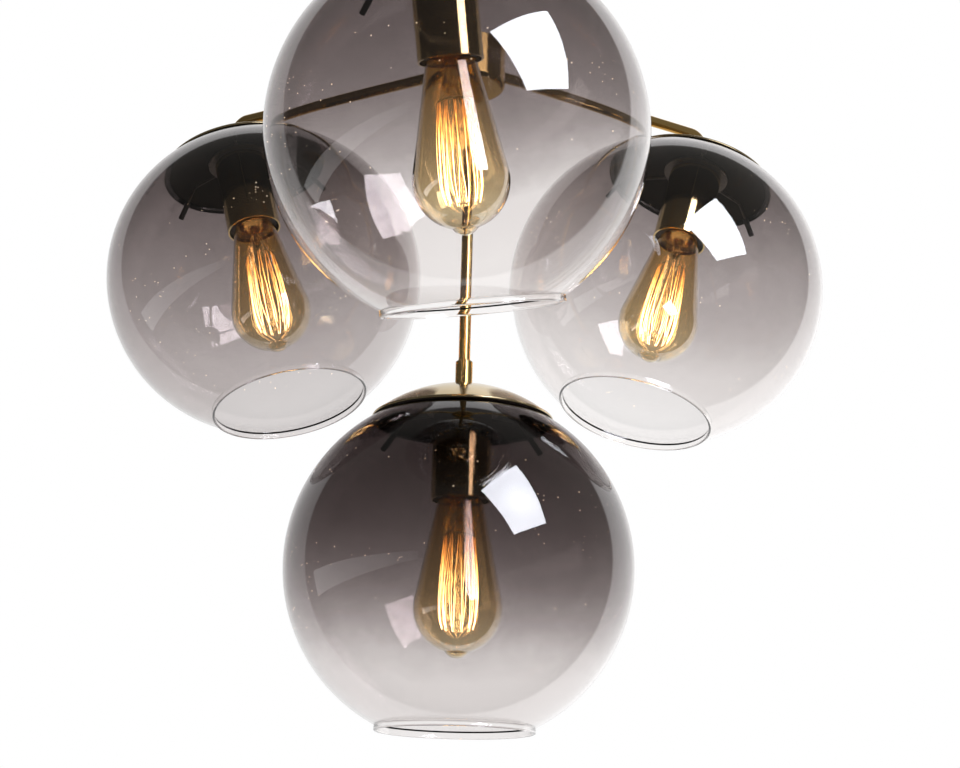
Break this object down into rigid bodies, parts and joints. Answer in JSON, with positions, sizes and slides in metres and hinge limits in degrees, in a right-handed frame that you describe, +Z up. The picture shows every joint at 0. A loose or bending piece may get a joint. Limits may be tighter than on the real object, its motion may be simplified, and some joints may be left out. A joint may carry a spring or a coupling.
{
  "type": "cluster pendant light",
  "caption": "Hanging ceiling light: smoked glass globes on bent brass arms round a hub, with one more globe on a stem below, each round a screw-in filament bulb.",
  "frame": {"origin": "middle of the ceiling plane, between the two slots of the ceiling bar", "axes": "+Z up into the ceiling; -Y is the side that the picture was taken from, with one arm towards it; X runs along the ceiling bar"},
  "size_m": [0.5754, 0.533, 0.8919],
  "materials": {
    "satin_brass": "satin",
    "dark_brass": "satin",
    "smoke_glass": "glossy, smoke tint fading to clear at the mouth",
    "amber_glass": "glossy",
    "clear_glass": "glossy",
    "hot_filament": "glowing",
    "bulb_cap_metal": "satin",
    "black_phenolic": "matte",
    "black_rubber": "matte",
    "plated_steel": "satin"
  },
  "bodies": {
    "ceiling": {"ceiling_bar": "plated_steel", "canopy": "satin_brass", "canopy_screws": "satin_brass"},
    "swivel": {"swivel_fork": "satin_brass", "swivel_nut": "plated_steel", "swivel_pin": "satin_brass"},
    "front_bulb_screw": {"front_bulb_base": "bulb_cap_metal"},
    "front_bulb": {"front_bulb_glass": "amber_glass", "front_bulb_mount": "clear_glass", "front_bulb_filament": "hot_filament"},
    "right_bulb_screw": {"right_bulb_base": "bulb_cap_metal"},
    "right_bulb": {"right_bulb_glass": "amber_glass", "right_bulb_mount": "clear_glass", "right_bulb_filament": "hot_filament"},
    "left_bulb_screw": {"left_bulb_base": "bulb_cap_metal"},
    "left_bulb": {"left_bulb_glass": "amber_glass", "left_bulb_mount": "clear_glass", "left_bulb_filament": "hot_filament"},
    "bottom_bulb_screw": {"bottom_bulb_base": "bulb_cap_metal"},
    "bottom_bulb": {"bottom_bulb_glass": "amber_glass", "bottom_bulb_mount": "clear_glass", "bottom_bulb_filament": "hot_filament"},
    "fixture": {"bottom_cap": "satin_brass", "bottom_clip": "plated_steel", "bottom_coupler": "satin_brass", "bottom_globe": "smoke_glass", "bottom_lampholder": "black_phenolic", "bottom_socket_cup": "dark_brass", "bottom_socket_shell": "satin_brass", "clip_sleeves": "black_rubber", "front_arm": "satin_brass", "front_cap": "satin_brass", "front_clip": "plated_steel", "front_coupler": "satin_brass", "front_globe": "smoke_glass", "front_lampholder": "black_phenolic", "front_socket_cup": "dark_brass", "front_socket_shell": "satin_brass", "hub_lid": "satin_brass", "hub_shell": "satin_brass", "lamp_nuts": "plated_steel", "left_arm": "satin_brass", "left_cap": "satin_brass", "left_clip": "plated_steel", "left_coupler": "satin_brass", "left_globe": "smoke_glass", "left_lampholder": "black_phenolic", "left_socket_cup": "dark_brass", "left_socket_shell": "satin_brass", "lower_stem": "satin_brass", "right_arm": "satin_brass", "right_cap": "satin_brass", "right_clip": "plated_steel", "right_coupler": "satin_brass", "right_globe": "smoke_glass", "right_lampholder": "black_phenolic", "right_socket_cup": "dark_brass", "right_socket_shell": "satin_brass", "swivel_tongue": "satin_brass", "upper_stem": "satin_brass"}
  },
  "joints": [
    {"name": "canopy_turn", "type": "hinge", "parent": "ceiling", "child": "swivel", "pos_m": [0, 0, -0.042], "axis": [0, 0, 1], "range_deg": [-170, 170]},
    {"name": "stem_tilt", "type": "hinge", "parent": "swivel", "child": "fixture", "pos_m": [0, 0, -0.042], "axis": [1, 0, 0], "range_deg": [-45, 45]},
    {"name": "front_bulb_out", "type": "slide", "parent": "fixture", "child": "front_bulb_screw", "axis": [0.1153, 0.2744, -0.9547], "range_m": [0, 0.01997]},
    {"name": "front_bulb_turn", "type": "hinge", "parent": "front_bulb_screw", "child": "front_bulb", "pos_m": [-0.014, -0.20148, -0.48067], "axis": [0.1153, 0.2744, -0.9547], "range_deg": [0, 1980]},
    {"name": "right_bulb_out", "type": "slide", "parent": "fixture", "child": "right_bulb_screw", "axis": [-0.2467, -0.1441, -0.9583], "range_m": [0, 0.01997]},
    {"name": "right_bulb_turn", "type": "hinge", "parent": "right_bulb_screw", "child": "right_bulb", "pos_m": [0.17421, 0.1018, -0.48106], "axis": [-0.2467, -0.1441, -0.9583], "range_deg": [0, 1980]},
    {"name": "left_bulb_out", "type": "slide", "parent": "fixture", "child": "left_bulb_screw", "axis": [0.2482, -0.1415, -0.9583], "range_m": [0, 0.01997]},
    {"name": "left_bulb_turn", "type": "hinge", "parent": "left_bulb_screw", "child": "left_bulb", "pos_m": [-0.17527, 0.09997, -0.48106], "axis": [0.2482, -0.1415, -0.9583], "range_deg": [0, 1980]},
    {"name": "bottom_bulb_out", "type": "slide", "parent": "fixture", "child": "bottom_bulb_screw", "axis": [0, 0, -1], "range_m": [0, 0.01997]},
    {"name": "bottom_bulb_turn", "type": "hinge", "parent": "bottom_bulb_screw", "child": "bottom_bulb", "pos_m": [0, 0, -0.7265], "axis": [0, 0, -1], "range_deg": [0, 1980]}
  ],
  "couplings": [
    {"joint": "front_bulb_out", "follows": "front_bulb_turn", "m_per_rad": 0.00057757},
    {"joint": "right_bulb_out", "follows": "right_bulb_turn", "m_per_rad": 0.00057757},
    {"joint": "left_bulb_out", "follows": "left_bulb_turn", "m_per_rad": 0.00057757},
    {"joint": "bottom_bulb_out", "follows": "bottom_bulb_turn", "m_per_rad": 0.00057757}
  ]
}
